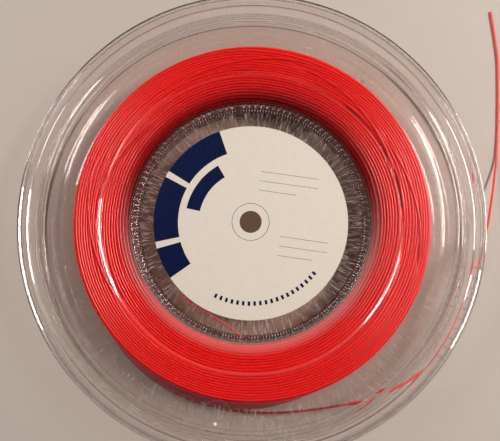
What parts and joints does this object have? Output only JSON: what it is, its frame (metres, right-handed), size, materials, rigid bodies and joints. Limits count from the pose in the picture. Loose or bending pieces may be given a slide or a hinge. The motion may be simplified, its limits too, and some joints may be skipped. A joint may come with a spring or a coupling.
{
  "type": "string reel",
  "caption": "Flat clear spool of two flanged halves with a fluted drum and a spindle bore, holding a wound red racket string whose free end leaves under the rim.",
  "frame": {"origin": "on the reel's axis, in the plane of the lower rim band that the reel stands on", "axes": "+Z along the reel's axis, from the lower half to the half that carries the label; +X towards the side where the free end of the string leaves the rim"},
  "size_m": [0.2836, 0.2631, 0.028],
  "materials": {
    "clear_plastic": "clear injection-moulded polystyrene, glossy, with fine handling scratches",
    "label_paper": "satin coated paper label with a dark blue and grey printed pattern",
    "string_red": "fluorescent red polyester monofilament, slightly rough, satin gloss"
  },
  "bodies": {
    "root": {"upper_hub": "clear_plastic", "upper_flange": "clear_plastic", "upper_rim": "clear_plastic", "lower_hub": "clear_plastic", "lower_flange": "clear_plastic", "lower_rim": "clear_plastic", "label": "label_paper", "string_core": "string_red", "string_winding": "string_red", "string_start": "string_red", "string_tail": "string_red"}
  },
  "joints": []
}
